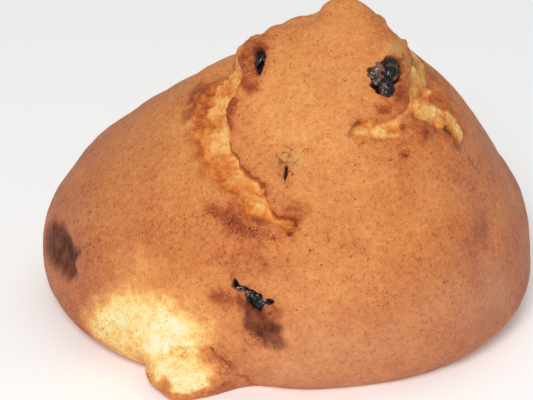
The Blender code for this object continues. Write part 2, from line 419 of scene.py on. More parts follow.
@dataclass(frozen=True)
class Spot:
    """An oval place on the crust: its sizes, in millimetres, and the angle of its width from level.

    lift raises the crust there, bake darkens or lightens it, and stain is raisin juice. edge is the
    share of the radius that is its soft border.
    """

    bearing: float
    height: float
    wide: float
    tall: float
    turn: float = 0
    lift: float = 0
    bake: float = 0
    stain: float = 0
    edge: float = 1
    ragged: float = 0.4

    def share(self, points: Array) -> Array:
        """How much each point is in the spot: 1 in its middle, 0 outside."""
        first, second, out = DOME.axes(self.bearing, self.height, self.turn)
        offset = (points - DOME.place(self.bearing, self.height)) / MM
        radius = np.sqrt((offset @ first / self.wide) ** 2 + (offset @ second / self.tall) ** 2)
        near = np.abs(offset @ out) < max(self.wide, self.tall) + 2
        radius = radius + hills(points, (self.ragged, 1.9, 21))
        return np.where(near, 1 - smooth(1 - self.edge, 1, radius), 0)


@dataclass(frozen=True)
class Patch:
    """A place on the crust with an outline of its own, as (bearing, height) stops.

    soft is half the width of its border, and ragged how uneven the border is, in millimetres.
    """

    outline: tuple
    soft: float = 0.8
    ragged: float = 0.5
    grain: float = 1.9
    lift: float = 0
    bake: float = 0
    stain: float = 0
    hollow: float = 0

    def inside(self, points: Array) -> Array:
        """How far each point is inside the outline, in millimetres: less than 0 outside."""
        stops = np.array([DOME.place(*stop) for stop in self.outline])
        middle = stops.mean(axis=0)
        bearing = float(np.degrees(np.arctan2(middle[1], middle[0])))
        around, rising, out = DOME.axes(bearing, float(middle[2]) / MM)
        flat = (stops - middle) @ np.stack([around, rising]).T / MM
        offset = (points - middle) / MM
        a, b = offset @ around, offset @ rising
        distance = np.full(len(points), np.inf)
        within = np.zeros(len(points), bool)
        for (a0, b0), (a1, b1) in zip(flat, np.roll(flat, -1, axis=0)):
            da, db = a1 - a0, b1 - b0
            share = np.clip(((a - a0) * da + (b - b0) * db) / (da * da + db * db), 0, 1)
            distance = np.minimum(distance, np.hypot(a - a0 - share * da, b - b0 - share * db))
            crosses = (b0 > b) != (b1 > b)
            within ^= crosses & (a < a0 + (b - b0) * da / (db if db else 1e-9))
        near = np.abs(offset @ out) < 9
        return np.where(near, np.where(within, distance, -distance), -99)

    def share(self, points: Array) -> Array:
        """How much each point is in the patch: 1 inside, 0 outside."""
        rough = self.ragged * hills(points, (1, self.grain, 22), (0.5, 0.8, 23))
        return smooth(-self.soft, self.soft, self.inside(points) + rough)


@dataclass(frozen=True)
class Crease:
    """A fine crack or fold in the skin, along (bearing, height) stops.

    width is half its width and depth how deep it is, in millimetres. broken is how much of it has
    closed again, from -1 for none to 1 for all.
    """

    stops: tuple
    width: float = 0.22
    depth: float = 0.25
    bake: float = 0.25
    broken: float = -1

    def away(self, points: Array, normals: Array) -> Array:
        """How far each point is from the crease, in millimetres."""
        wander = [hills(points, (1, 1.3, seed)) for seed in (41, 42, 43)]
        return np.abs(line_distance(points + 0.45 * MM * np.stack(wander, axis=1), normals, self.stops))

    def share(self, points: Array, normals: Array) -> Array:
        """How much each point is in the crease: 1 in its middle, 0 outside."""
        gaps = smooth(self.broken - 0.2, self.broken + 0.2, hills(points, (1, 1.6, 44)))
        return gaps * bell(self.away(points, normals), self.width)


@dataclass(frozen=True)
class Raisin:
    """A raisin in the crust: its half sizes along, across and out of the surface, in millimetres.

    turn is the angle of its length from level. sunk is how far its middle is under the crust.
    lobes holds its folds as (along, across, out, radius), in shares of its half sizes, and thin is
    the radius of the last lobe where its skin is thin and lets light through, painted pinkish brown,
    partly as a painted highlight.
    """

    name: str
    bearing: float
    height: float
    half: tuple
    turn: float
    sunk: float
    seed: int
    mouth: Patch
    lobes: tuple
    thin: float = 0


LEFT_SPLIT = Split(
    burst_edge=(
        (128, 54), (145, 53), (165, 51), (-176, 50.5), (-157.5, 50), (-145, 49), (-139.5, 47.5),
        (-138.5, 46), (-134.5, 44.5), (-129, 43), (-126.5, 41.5), (-123.5, 40.5), (-119.5, 40),
        (-115.5, 39), (-112.5, 38), (-108.5, 37.5), (-104.5, 36.5), (-101.5, 35), (-98.5, 33),
        (-95.5, 32.5), (-93, 32.5), (-91, 32), (-89.5, 31),
    ),
    other_edge=(
        (128, 54), (145, 51.5), (160, 49.5), (174, 49), (-170, 47), (-162.5, 45.5), (-157, 44.5),
        (-152, 43), (-148, 42), (-144, 40.5), (-139, 40), (-135, 39), (-131, 38), (-127.5, 37),
        (-119.5, 36.5), (-114.5, 35), (-108.5, 34), (-106.5, 33), (-104.5, 32), (-99, 31.5),
        (-96.5, 31.5), (-94, 30.5), (-92, 30), (-89.5, 31),
    ),
    depth=1.3, rise=(0.8, 1.5), ridge=0.35, ragged=0.45, lumps=1.25, wall=1, wall_top=46.5, shadow=1,
)

RIGHT_SPLIT = Split(
    burst_edge=(
        (-77.5, 43.5), (-76, 44.5), (-72.5, 45.5), (-68.5, 45.5), (-64.5, 45), (-60, 45), (-54.5, 45.5),
        (-49, 46), (-43.5, 47), (-37, 48.5), (-31.5, 49.5), (-19.5, 50.5), (-4, 51), (8, 51.5),
        (22, 53),
    ),
    other_edge=(
        (-77.5, 43.5), (-73.5, 43), (-67.5, 43.5), (-62, 43), (-56.5, 43), (-53, 45), (-46, 45.5),
        (-39.5, 45), (-33.5, 45.5), (-26, 47), (-16, 48), (1.5, 48.5), (15, 50), (22, 53),
    ),
    depth=0.4, rise=(0.35, 0.35), ragged=0.4, lumps=0.8, shadow=0.3, blur=1, toast=0.11, wall=1.2,
    burst_blur=0.9, torn=Torn.STRETCHED,
)

RIGHT_BRANCH = Split(
    burst_edge=(
        (-44, 46), (-39, 46.4), (-33, 45.6), (-27.5, 44.6), (-24.5, 43.6), (-21.5, 43), (-19.5, 41.5),
        (-21, 39), (-24.5, 38),
    ),
    other_edge=(
        (-44, 46), (-44.5, 44.5), (-40, 43.5), (-36, 42.5), (-31.5, 41), (-28.5, 40), (-28, 38.5),
        (-24.5, 38),
    ),
    depth=0.05, rise=(0.05, 0.05), ragged=0.35, lumps=0.8, blur=1.1, toast=-0.05, burst_blur=1.2,
)

SPLITS = (LEFT_SPLIT, RIGHT_SPLIT, RIGHT_BRANCH)

MOUNDS = (
    Spot(130, 58.6, 5.5, 5.5, lift=0.9, ragged=0),
    Spot(-172, 57.2, 3.2, 3.2, lift=-1, ragged=0),
    Spot(170, 47.8, 13, 4.8, lift=-2, ragged=0),
    Spot(172, 48.8, 6.5, 2.6, lift=-2.1, ragged=0),
    Spot(156, 52.6, 3.4, 2.2, lift=-1.1, ragged=0),
    Spot(158, 55.6, 3, 3, lift=0.6, ragged=0),
    Spot(145, 57, 2.4, 2.4, lift=-1, ragged=0),
    Spot(35, 54.5, 3, 3, lift=0.8),
    Spot(-47, 42.5, 4.2, 3.4, lift=1.5, ragged=0.1),  # a blister below the right split
    Spot(-14, 45, 5, 4, lift=0.8, ragged=0.1),
    Spot(-99, 39.6, 4, 4.4, lift=0.5, ragged=0.1),
    Spot(-33, 24.6, 5, 5, lift=-0.5, ragged=0.1),
    Spot(-96, 14.7, 4.5, 5, lift=0.9, ragged=0.1),
    Spot(-95, 17.8, 1.3, 1.3, lift=0.5, ragged=0.1),
    Spot(-108, 32.4, 3.5, 3, lift=0.4, ragged=0.2),
    Spot(-93.5, 33.6, 2.6, 1.6, lift=0.5, ragged=0.2),
    Spot(-93, 31.2, 2.2, 1.6, lift=0.9, ragged=0.3),
    Spot(-114, 36.6, 2.2, 1.6, lift=0.7, ragged=0.3),
    Spot(-127, 39.4, 2.2, 1.8, lift=0.7, ragged=0.3),
    Spot(-104, 34.2, 1.8, 1.4, lift=0.6, ragged=0.3),
    Spot(40, 30, 9, 9, lift=0.6, ragged=0),
    Spot(100, 36, 8, 8, lift=-0.5, ragged=0),
    Spot(160, 28, 9, 9, lift=0.5, ragged=0),
)

# The steep face round the left raisin, the curled lip below it, and the toast along the splits
TOASTED = (
    Patch(((161.5, 50.5), (167, 51.5), (-171.5, 53.5), (-148.5, 52.5), (-137.5, 51), (-132, 49.5),
          (-132.5, 48.5), (-136, 47.5), (-146.5, 49), (-167, 50.5)), soft=0.8, ragged=1.1, bake=0.18),
    Patch(((-138.5, 47), (-140.5, 46.5), (-140, 45.5), (-137, 44.5), (-132.5, 43.5), (-129.5, 43.5),
          (-130.5, 45), (-133, 46.5)), soft=0.6, ragged=0.6, bake=0.3, lift=0.6),
    Patch(((-172, 47.5), (-165.5, 45.7), (-159.5, 44.2), (-154, 42.7), (-155, 41.5), (-158.5, 42),
          (-168, 44), (-179.5, 46)), soft=1.4, ragged=1.1, bake=0.22),
    Patch(((-117.5, 32), (-115.5, 33.5), (-110, 33.5), (-104, 31.5), (-97.5, 30.5), (-92, 29.5),
          (-99.5, 29), (-106, 30), (-112, 31)), soft=2.2, ragged=1.8, bake=0.14),
    Patch(((-99, 34.5), (-94, 34.8), (-91, 35), (-87.5, 33.5), (-89.5, 31.5), (-93, 32.7), (-96, 33)),
          soft=1.3, ragged=1, bake=0.18),
    Patch(((-52, 45), (-46, 45.3), (-41, 44.5), (-36.5, 43.5), (-37.5, 42), (-42, 41), (-47.5, 40.5),
          (-53, 41.5), (-55, 42.5), (-55.5, 44)), soft=1.8, ragged=0.5, bake=0.13),
    Spot(-47, 42, 3, 2.2, bake=0.28, ragged=0.1),
    Spot(-50, 44.8, 2.8, 1.6, bake=-0.16, ragged=0.2),
    Spot(-42, 42.2, 2, 2, bake=-0.06, ragged=0.2),
    Patch(((0, 48.5), (22.5, 44), (10.5, 43.5), (-5.5, 43.5), (-16.5, 43), (-26, 44), (-25, 46),
          (-17.5, 47.5)), soft=1.2, ragged=1.3, bake=0.05),
    Spot(-20, 44.6, 3.6, 1.8, turn=-50, bake=0.09, ragged=0.5),
    Patch(((-50, 48.3), (-44, 49), (-39, 49), (-39, 48), (-45, 46.8), (-51, 46.3), (-58, 45.8),
          (-64, 46), (-62, 47.3), (-56, 48)), soft=1.3, ragged=1, bake=0.22),
    Spot(-45, 48, 3, 1.8, turn=20, bake=0.4, stain=0.2, ragged=0.5),
    Spot(-59, 46.4, 2.6, 1.4, turn=10, bake=0.1, ragged=0.5),
    Spot(-55.5, 40.6, 2.4, 2, bake=0.12, ragged=0.9),
    Spot(-116.5, 35.4, 1.8, 1.4, bake=0.16, ragged=0.6),
    Spot(-6, 46.9, 2.4, 2.4, bake=0.12, ragged=0.25),
    Spot(-34.5, 24.8, 3.4, 4.6, turn=-20, bake=0.22),
    Spot(-107, 31, 9, 4.5, turn=-20, bake=0.1, ragged=0.25),
    Spot(-128, 45.5, 4.5, 7, turn=30, bake=0.08, ragged=0.25),
    Spot(-112, 41, 7, 3, turn=-25, bake=0.06, ragged=0.25),
    Spot(-101, 25.5, 11, 5.5, bake=0.17, ragged=0.25),
    Spot(-65, 44, 2.4, 1.6, bake=-0.45),
    Spot(-72, 44.2, 2.4, 1.4, bake=-0.46),
    Spot(-174.5, 51.8, 2.6, 1.6, bake=-0.09),
    Spot(-57.5, 44, 3, 1.8, bake=0.17),
    Spot(-35.5, 45, 2.6, 1.8, bake=0.2),
    Spot(-150.5, 42.3, 1.8, 1.6, bake=-0.1),
    Spot(-24.5, 46.6, 1.2, 0.9, bake=-0.5, lift=0.2, ragged=0.2),
    Spot(-42, 45.6, 2.6, 2, bake=-0.04),
    Spot(-132.5, 48.2, 3.8, 2.4, turn=-10, bake=0.22),
    Spot(-102.2, 39.3, 2.2, 1.8, bake=0.2, ragged=0.5),
    Spot(-22, 53.2, 6, 3, bake=-0.17, ragged=0.25),
    Spot(-25, 41.4, 2.6, 1.8, bake=-0.06),
    Spot(-97.5, 41, 4, 3, bake=-0.08, ragged=0.25),
    Spot(-163, 46.4, 4.5, 1.3, turn=40, bake=0.24, ragged=0.5),
    Spot(-152, 43.4, 3.5, 1, turn=55, bake=0.04, ragged=0.5),
    Spot(-110, 31.6, 2.2, 1.3, turn=-20, bake=0.07, ragged=0.6),
    Spot(-103, 30.6, 2.6, 1.1, turn=-10, bake=0.07, ragged=0.6),
    Spot(-115.5, 32.6, 1.8, 1.2, bake=0.1, ragged=0.6),
)

# Dough that the oven hardly browned, round the foot
PALE = (
    Patch(((-144, 7.5), (-140, 12.5), (-135, 15), (-129.5, 17), (-123.5, 17.5), (-116.5, 16),
          (-111.5, 15.5), (-108.5, 15), (-107.5, 12.5), (-109, 9.5), (-112, 2), (-125, 1.5),
          (-136, 1.5), (-142.5, 3.5)), soft=2.5, ragged=0.9, bake=-0.37),
    Patch(((-144, 8), (-138.5, 15), (-133, 19), (-125, 21), (-118, 21), (-112.5, 20), (-109.5, 18),
          (-107, 15.5), (-107, 12.5), (-112, 8), (-125, 6), (-140, 5)), soft=5.2, ragged=1, bake=-0.21),
    Spot(-134, 11.5, 6, 4.5, turn=12, bake=-0.04, edge=0.9, ragged=0.3),
    Spot(-128, 22.5, 9, 4.5, bake=-0.1, ragged=0.3),
    Spot(-121, 8, 7, 4, bake=-0.06, ragged=0.3),
    Spot(-111, 12.8, 6, 4, turn=-15, bake=0.19),
    Spot(-107, 12, 1.2, 3, bake=-0.04, ragged=0.25),
    Spot(-134, 4, 11, 0.9, bake=0.1, ragged=0.9),
    Spot(-121, 7.4, 6, 3.2, bake=-0.16),
)

STAINS = (
    Patch(((-162.5, 20.5), (-156.5, 20), (-153.5, 18.7), (-150, 19.5), (-150.8, 17), (-149, 15.5),
          (-151, 13.5), (-157, 12.8), (-165, 12), (-173, 12.5), (-175, 15.5), (-170, 19)), soft=1.4,
          ragged=0.6, stain=0.8, bake=0.2, lift=-0.9),
    Patch(((-162, 20.3), (-156.5, 19.7), (-153.7, 18.4), (-150.2, 19.4), (-151, 17), (-149, 15.5),
          (-152, 13.8), (-158, 13.5), (-162, 16), (-166, 17.5)), soft=0.8, ragged=0.45, stain=0.78,
          bake=0.08, lift=-0.3),
    Patch(((-101.5, 20), (-100, 19.5), (-97.5, 17.5), (-95.5, 17), (-93.5, 17), (-91.5, 15.5),
          (-92, 13.5), (-93.5, 11.5), (-95.5, 12.5), (-97.5, 13.5), (-99.5, 15.5), (-100.5, 18)),
          soft=1.1, ragged=0.7, stain=0.72, bake=0.14),
    Spot(-96.8, 17.2, 4, 2.4, turn=-30, stain=0.9, bake=0.12, ragged=0.3),
    Spot(-93, 12.4, 2.8, 2.4, stain=0.72, bake=0.06),
    Spot(-93.3, 13.8, 1.6, 3.4, turn=18, stain=0.55, bake=0.1, ragged=0.3),
    Spot(-92.6, 18, 1.4, 2, stain=0.25, bake=0.1, ragged=0.3),
    Spot(-102, 19.4, 3, 1.6, turn=-35, stain=0.15, bake=0.22, ragged=0.25),
    Spot(-106, 19.8, 3.8, 3, stain=0.1, bake=0.22, ragged=0.25),
    Spot(-29.5, 38.4, 1.6, 1.9, stain=0.45, ragged=0.25),
    Spot(118, 35.6, 3, 3, stain=0.4, bake=0.15, ragged=0.25),
    Spot(58, 19, 2.6, 3.6, stain=0.5, bake=0.15, ragged=0.25),
)

# Where the skin dried to a dull tan; bake is how much
DRIED = (
    Spot(-20, 53, 6, 3, bake=0.65, ragged=0.25),
    Spot(-20, 51.2, 2.4, 2.2, bake=0.75, ragged=0.25),
    Spot(-34, 48.2, 2.8, 2.6, bake=0.8, ragged=0.25),
    Spot(-100, 40.2, 4.6, 4.6, bake=0.4, ragged=0.25),
    Spot(-74.5, 44, 3, 1.6, bake=0.45, ragged=0.25),
)

# Where hairline cracks show in the skin
CRACKLED = (
    Spot(-150, 50.5, 5, 3),
    Spot(-99, 39.8, 2.8, 4.2, edge=0.9),
    Spot(-94.5, 42, 2.4, 2),
    Spot(-55.5, 40.8, 2.6, 2, edge=0.9, ragged=0.5),
    Spot(-148.5, 20.3, 5, 1.6, turn=25),
    Spot(-29, 38.3, 2, 2.2),
    Spot(-25.5, 34.5, 1.2, 3.5, ragged=0.3),
    Spot(-96, 13, 5, 4, ragged=0.5),
    Spot(-104, 30.5, 8, 2.5, turn=-15, ragged=0.5),
    Spot(-107, 7.5, 3, 1.5, turn=-40, ragged=0.3),
    Spot(-139, 8, 7, 7),
    Spot(-122, 4, 7, 3),
    Spot(-115, 8, 6, 3),
    Spot(-104, 6, 5, 4),
)

# Fine cracks round the slit over the buried raisin
SLIT_CRACKS = (
    ((-103.5, 42.5), (-100, 42), (-97.5, 41), (-97, 39.5), (-98.5, 38.5)),
    ((-106, 41.5), (-103.5, 40.5), (-100.5, 39.5), (-98.5, 37.5)),
    ((-101, 42), (-100.5, 40.5), (-99.5, 39.5)),
    ((-104, 40.5), (-102, 41.5), (-99.5, 41), (-99.5, 40)),
    ((-103.5, 39.5), (-101.5, 40), (-99, 39.5), (-96.5, 38.5)),
    ((-98, 40.5), (-96, 39.5), (-96.5, 38.5), (-98.5, 38)),
    ((-97.5, 37.5), (-94.5, 37), (-93, 37.5)),
)

CREASES = (
    Crease(((-124.5, 4), (-120.5, 6), (-117, 8), (-114, 8.5), (-110.5, 8), (-107.5, 9.5)), width=0.6,
           depth=0.8, bake=0.07, broken=-0.2),
    Crease(((-107.5, 9.5), (-105, 8), (-103, 6.5), (-100.5, 3.5), (-99, 0.5)), width=0.6, depth=0.8,
           bake=0.16, broken=-0.5),
    Crease(((-77.5, 43.5), (-76, 44.5), (-72.5, 45.5), (-68.5, 45.5)), bake=0.36, broken=-0.5),
    Crease(((-30.5, 52), (-24.5, 51.5), (-17, 52)), width=0.25, depth=0.5, bake=0.5),
    Crease(((-24.5, 38), (-26, 35.5), (-26, 32), (-27, 29)), width=0.16, depth=0.15, broken=-0.4),
    Crease(((-151, 19.5), (-149, 20), (-147.5, 21), (-145.5, 22.5), (-143.5, 24)), width=0.2, bake=0.35,
           broken=0.1),
    *(Crease(stops, width=0.15, depth=0.3, bake=0.34, broken=-0.1) for stops in SLIT_CRACKS),
    Crease(((-96.5, 19.5), (-94.5, 19), (-93, 18), (-94, 17.5), (-96, 17.5)), width=0.3, depth=0.4,
           bake=0.2, broken=-0.3),
    Crease(((-56, 41), (-54, 40.5), (-53.5, 39.8), (-55.5, 39.8)), width=0.15, bake=0.2, broken=0),
)

# Where the skin is rough: along the cap's right edge, round the splits and on the foot
ROUGH = (
    Spot(10, 54, 7, 6, lift=0.34, edge=0.6, ragged=0.25),
    Spot(-8, 46, 5, 5, lift=0.15, edge=0.8, ragged=0.25),
    Spot(-48, 42, 5, 4, lift=0.15, edge=0.9, ragged=0.25),
    Spot(-50, 47.3, 4, 2, lift=0.22, edge=0.9, ragged=0.25),
    Spot(165, 51.5, 6, 4, lift=0.22, edge=0.6, ragged=0.25),
    Spot(-150, 51, 4, 4, lift=0.22, edge=0.8, ragged=0.25),
    Spot(-134, 46, 4, 4, lift=0.2, edge=0.8, ragged=0.25),
    Spot(-104, 31.5, 9, 3.5, turn=-20, lift=0.2, edge=0.9, ragged=0.25),
    Spot(-117, 5, 10, 6, lift=0.32, edge=0.9, ragged=0.25),
    Spot(-105, 25, 12, 8, lift=0.1, ragged=0.25),
)

# Small open holes: over a buried raisin, and in the crumb on the right
HOLES = (
    Patch(((-99.8, 39.4), (-99.2, 39.5), (-98.4, 38.2), (-97.9, 37.2), (-98.8, 38.2)), soft=0.15,
          ragged=0.3, hollow=0.9),
    Patch(((-32.5, 41.4), (-30.5, 41.7), (-28.5, 41.2), (-27.5, 40), (-30.5, 40)), soft=0.2,
          ragged=0.15, hollow=1.4),
)

RAISINS = (
    Raisin(
        "raisin_cap_right", -49, 50.4, half=(3.9, 2.9, 2.6), turn=70, sunk=0.3, seed=31,
        mouth=Patch((
            (-42, 52.5), (-34.5, 52.5), (-29, 51.5), (-33.5, 50.5), (-40, 50), (-47, 49), (-50, 48.5),
            (-55, 48.5), (-59.5, 49), (-62, 50), (-60, 50.5), (-56, 51.5), (-50, 52),
        ), soft=0.3, ragged=0.45, hollow=0.9),
        lobes=((0.42, -0.3, 0.1, 0.6), (-0.45, 0.15, 0, 0.6), (0.12, 0.5, 0, 0.66)),
        thin=0.66,
    ),
    Raisin(
        "raisin_cap_left", -147.5, 51.2, half=(2.7, 1, 1.5), turn=80, sunk=-0.1, seed=32,
        mouth=Patch((
            (-167.5, 52), (-165.5, 52.5), (-155.5, 52.5), (-146, 52), (-138.5, 51), (-134, 50),
            (-136, 50), (-142.5, 50.5), (-153.5, 51.5),
        ), soft=0.2, ragged=0.15, hollow=0.2),
        lobes=((0.4, 0.1, 0, 0.66), (-0.4, -0.1, 0, 0.62)),
    ),
    Raisin(
        "raisin_front", -98.6, 19.8, half=(4.2, 2.6, 2.2), turn=-28, sunk=2.3, seed=33,
        mouth=Patch((
            (-103.8, 22.9), (-102.8, 21.8), (-99.5, 21.5), (-97.5, 21), (-96, 20), (-94.2, 19.5),
            (-95.8, 18.9), (-96.6, 17.8), (-98.2, 18.2), (-100, 19.3), (-101.2, 20.8), (-104, 21.6),
        ), soft=0.2, ragged=0.5, grain=1.1, hollow=2.4),
        lobes=((0.3, 0.1, 0.1, 0.7), (-0.4, -0.1, 0, 0.62), (0.3, -0.5, -0.1, 0.45)),
    ),
    Raisin(
        "raisin_back_left", 118, 38, half=(3.8, 2.8, 2.4), turn=20, sunk=1.1, seed=34,
        mouth=Patch((
            (112.5, 38), (114.5, 40), (119, 40.3), (123, 39.5), (124, 37.8), (121, 36.2), (116.5, 35.8),
            (113.5, 36.6),
        ), soft=0.25, ragged=0.3, hollow=2.2),
        lobes=((0.42, 0.1, 0.1, 0.64), (-0.4, -0.15, 0, 0.66)),
    ),
    Raisin(
        "raisin_back_right", 58, 22, half=(4.2, 2.9, 2.4), turn=-48, sunk=1.2, seed=35,
        mouth=Patch((
            (54.5, 24), (56.5, 25.2), (59.5, 23.6), (61.8, 20.8), (61.5, 18.8), (59, 18.8),
            (56.5, 20.2), (54.5, 22.2),
        ), soft=0.25, ragged=0.3, hollow=2.2),
        lobes=((0.42, 0.1, 0.1, 0.66), (-0.4, -0.15, 0, 0.62), (0, 0.4, -0.1, 0.5)),
    ),
)

POCKETS = HOLES + tuple(raisin.mouth for raisin in RAISINS)


# ---------------------------------------------------------------------------------------------
# Finishes
# ---------------------------------------------------------------------------------------------
def clouds(tree: Any, place: Any, size: float, detail: float, roughness: float = 0.6) -> Any:
    """A cloudy pattern with clouds of a real size, in millimetres."""
    inputs = {"Vector": place, "Scale": 1 / (size * MM), "Detail": detail, "Roughness": roughness}
    return add_node(tree, "TexNoise", inputs)


def vary(tree: Any, level: Any, pattern: Any, strength: float) -> Any:
    """Add a pattern to a level, evenly above and below it.

    Args:
        tree: The node tree.
        level: The level's socket.
        pattern: The pattern's socket, from 0 to 1 about a middle of 0.5.
        strength: How much the pattern moves the level.

    Returns:
        The varied level's socket.
    """
    inputs = {0: pattern, 1: strength, 2: -strength / 2}
    centred = add_node(tree, "Math", inputs, operation="MULTIPLY_ADD")
    return add_node(tree, "Math", {0: level, 1: centred}, operation="ADD")


@dataclass(frozen=True)
class CrustFinish:
    """Baked enriched bread crust: dull, mottled golden brown, with pores, and torn crumb in it.

    The patterns are given as a size in millimetres, a detail and a strength.
    """

    bake_colours: tuple = (
        (0.00, "#fff3cd"), (0.06, "#fde9a8"), (0.14, "#fddb8c"), (0.28, "#f7bc6a"), (0.40, "#eb9f57"),
        (0.52, "#dc8a4b"), (0.63, "#cb753c"), (0.74, "#b3582a"), (0.86, "#90401c"), (1.00, "#602711"),
    )
    crumb_colours: tuple = (
        (0.00, "#fbdf98"), (0.25, "#f9c375"), (0.50, "#f2a04e"), (0.75, "#db7d37"), (1.00, "#a25127"),
    )
    juices: tuple = ((0.38, "#3a140e"), (0.64, "#6c2f17"))
    # Pale pinkish tint: painted sheen on the flanks and painted reflection low on the front
    painted_sheen: str = "#dcaa8c"
    dried: str = "#a9935f"
    # Near-black painted into holes and pocket mouths: painted shade
    hollow: str = "#1c1310"
    mottling: tuple = ((1.1, 4, 0.32), (0.28, 2, 0.42), (3.2, 2, 0.14), (9, 3, 0.26))
    crumb_mottling: tuple = ((2.6, 3, 0.6), (1, 4, 0.7), (0.4, 2, 0.4))
    freckle_depth: float = 0.14
    pores: tuple = ((0.8, 0.15, 0.35), (2, 0.24, 0.66))  # spacing and widest radius, and rarity
    pore_depth: float = 0.38
    hairline_depth: float = 0.27
    roughness: float = 0.62
    crumb_roughness: float = 0.85

    def material(self) -> bpy.types.Material:
        """Build the crust's material.

        Returns:
            The material.
        """
        made, tree, surface = new_material("Baked bun crust")
        place = add_node(tree, "TexCoord", out="Object")
        names = ("bake", "painted_sheen", "crumb", "toast", "crackle", "stretch", "stain", "hollow")
        masks = {name: add_node(tree, "Attribute", out="Fac", attribute_name=name) for name in names}

        # Mottling: grains of crust about a millimetre wide, finer flecks, and cloudier patches
        level = masks["bake"]
        for size, detail, strength in self.mottling:
            level = vary(tree, level, clouds(tree, place, size, detail), strength)

        # Freckles, under a millimetre wide, where the skin browned first
        freckles = add_node(tree, "MapRange", {"Value": clouds(tree, place, 0.75, 2), 1: 0.56, 2: 0.72})
        inputs = {0: freckles, 1: self.freckle_depth, 2: level}
        level = add_node(tree, "Math", inputs, operation="MULTIPLY_ADD")

        # Pores: uneven pin pricks a few tenths of a millimetre wide, in some of the cells only
        uneven = clouds(tree, place, 0.5, 2, 0.5).node.outputs["Color"]
        inputs = {"Factor": 0.45 * MM, 4: place, 5: uneven}
        warped = add_node(tree, "Mix", inputs, 1, data_type="VECTOR")
        pores = self.pore(tree, warped, *self.pores[0])
        for kind in self.pores[1:]:
            inputs = {0: pores, 1: self.pore(tree, warped, *kind)}
            pores = add_node(tree, "Math", inputs, operation="MAXIMUM")
        inputs = {0: pores, 1: self.pore_depth, 2: level}
        level = add_node(tree, "Math", inputs, operation="MULTIPLY_ADD")

        # Hairline cracks, where the skin dried over a raisin or beside a split
        inputs = {0: clouds(tree, warped, 1.5, 1), 1: 0.5, 2: 0.022}
        hairs = add_node(tree, "Math", inputs, operation="COMPARE")
        hairs = add_node(tree, "Math", {0: hairs, 1: masks["crackle"]}, operation="MULTIPLY")
        inputs = {0: hairs, 1: self.hairline_depth, 2: level}
        level = add_node(tree, "Math", inputs, operation="MULTIPLY_ADD")

        # Torn crumb: pale dough in patches, toasted where it stands out, with painted shade in the
        # hollows between its lumps, drawn into upright strands
        torn = masks["toast"]
        for size, detail, strength in self.crumb_mottling:
            torn = vary(tree, torn, clouds(tree, place, size, detail), strength)
        inputs = {"Vector": place, "Scale": (1 / (0.45 * MM), 1 / (4 * MM), 1 / (4 * MM))}
        strands = add_node(tree, "TexNoise", {"Vector": add_node(tree, "Mapping", inputs), "Scale": 1})
        offset = add_node(tree, "Math", {0: strands, 1: 0.5}, operation="SUBTRACT")
        inputs = {0: offset, 1: masks["stretch"], 2: torn}
        torn = add_node(tree, "Math", inputs, operation="MULTIPLY_ADD")

        # Skin that was drawn thin and dried in the same strands
        drawn = add_node(tree, "MapRange", {"Value": strands, 1: 0.42, 2: 0.6, 3: 0.4})
        dried = add_node(tree, "Math", {0: drawn, 1: masks["stretch"]}, operation="MULTIPLY")
        ragged = vary(tree, masks["crumb"], clouds(tree, place, 0.7, 3), 0.5)
        colour = self.ramp(tree, self.bake_colours, level)
        for share, over in (
            # Painted sheen and painted reflection over the baked colour
            (masks["painted_sheen"], srgb(self.painted_sheen)),
            (add_node(tree, "MapRange", {"Value": ragged, 1: 0.25, 2: 0.75}),
             self.ramp(tree, self.crumb_colours, torn)),
            (dried, srgb(self.dried)),
            (masks["stain"], self.ramp(tree, self.juices, clouds(tree, place, 1.3, 3))),
            # Holes and pocket mouths painted near-black: painted shade
            (masks["hollow"], srgb(self.hollow)),
        ):
            inputs = {"Factor": share, 6: colour, 7: over}
            colour = add_node(tree, "Mix", inputs, 2, data_type="RGBA")

        # A skin of fine wrinkles with the pores sunk in it, rougher where the crumb is torn
        inputs = {0: pores, 1: -0.7, 2: clouds(tree, place, 0.55, 4)}
        sunk = add_node(tree, "Math", inputs, operation="MULTIPLY_ADD")
        inputs = {0: masks["crumb"], 1: 1.6, 2: 1}
        rougher = add_node(tree, "Math", inputs, operation="MULTIPLY_ADD")
        relief = add_node(tree, "Math", {0: sunk, 1: rougher}, operation="MULTIPLY")
        inputs = {"Value": masks["crumb"], 3: self.roughness, 4: self.crumb_roughness}
        dull = add_node(tree, "MapRange", inputs)
        inputs = {0: masks["stain"], 1: 0.35, 2: dull}
        wire(surface, {
            "Base Color": colour,
            "Normal": add_node(tree, "Bump", {"Height": relief, "Strength": 0.8, "Distance": 0.18 * MM}),
            "Roughness": add_node(tree, "Math", inputs, operation="MULTIPLY_ADD"),
            "Specular IOR Level": 0.22,
            "Sheen Weight": 0.03,
            "Sheen Roughness": 0.6,
            "Subsurface Weight": 0.08,
            "Subsurface Radius": (1.6, 0.8, 0.35),
            "Subsurface Scale": 0.8 * MM,
        })
        return made

    def pore(self, tree: Any, place: Any, spacing: float, radius: float, rarity: float) -> Any:
        """Scattered pores.

        Args:
            tree: The node tree.
            place: The socket with the place on the crust.
            spacing: How far apart the cells are that may hold a pore, in millimetres.
            radius: The widest pore's radius, in millimetres.
            rarity: The share of the cells that hold no pore.

        Returns:
            A socket that is 1 in a pore and 0 outside.
        """
        inputs = {"Vector": place, "Scale": 1 / (spacing * MM), "Randomness": 1}
        away = add_node(tree, "TexVoronoi", inputs, "Distance")
        chance = add_node(tree, "SeparateColor", {"Color": away.node.outputs["Color"]})
        reach = add_node(tree, "MapRange", {"Value": chance, 1: rarity, 2: 1, 3: 0, 4: radius / spacing})
        within = add_node(tree, "Math", {0: reach, 1: away}, operation="SUBTRACT")
        return add_node(tree, "MapRange", {"Value": within, 1: 0, 2: 0.05})

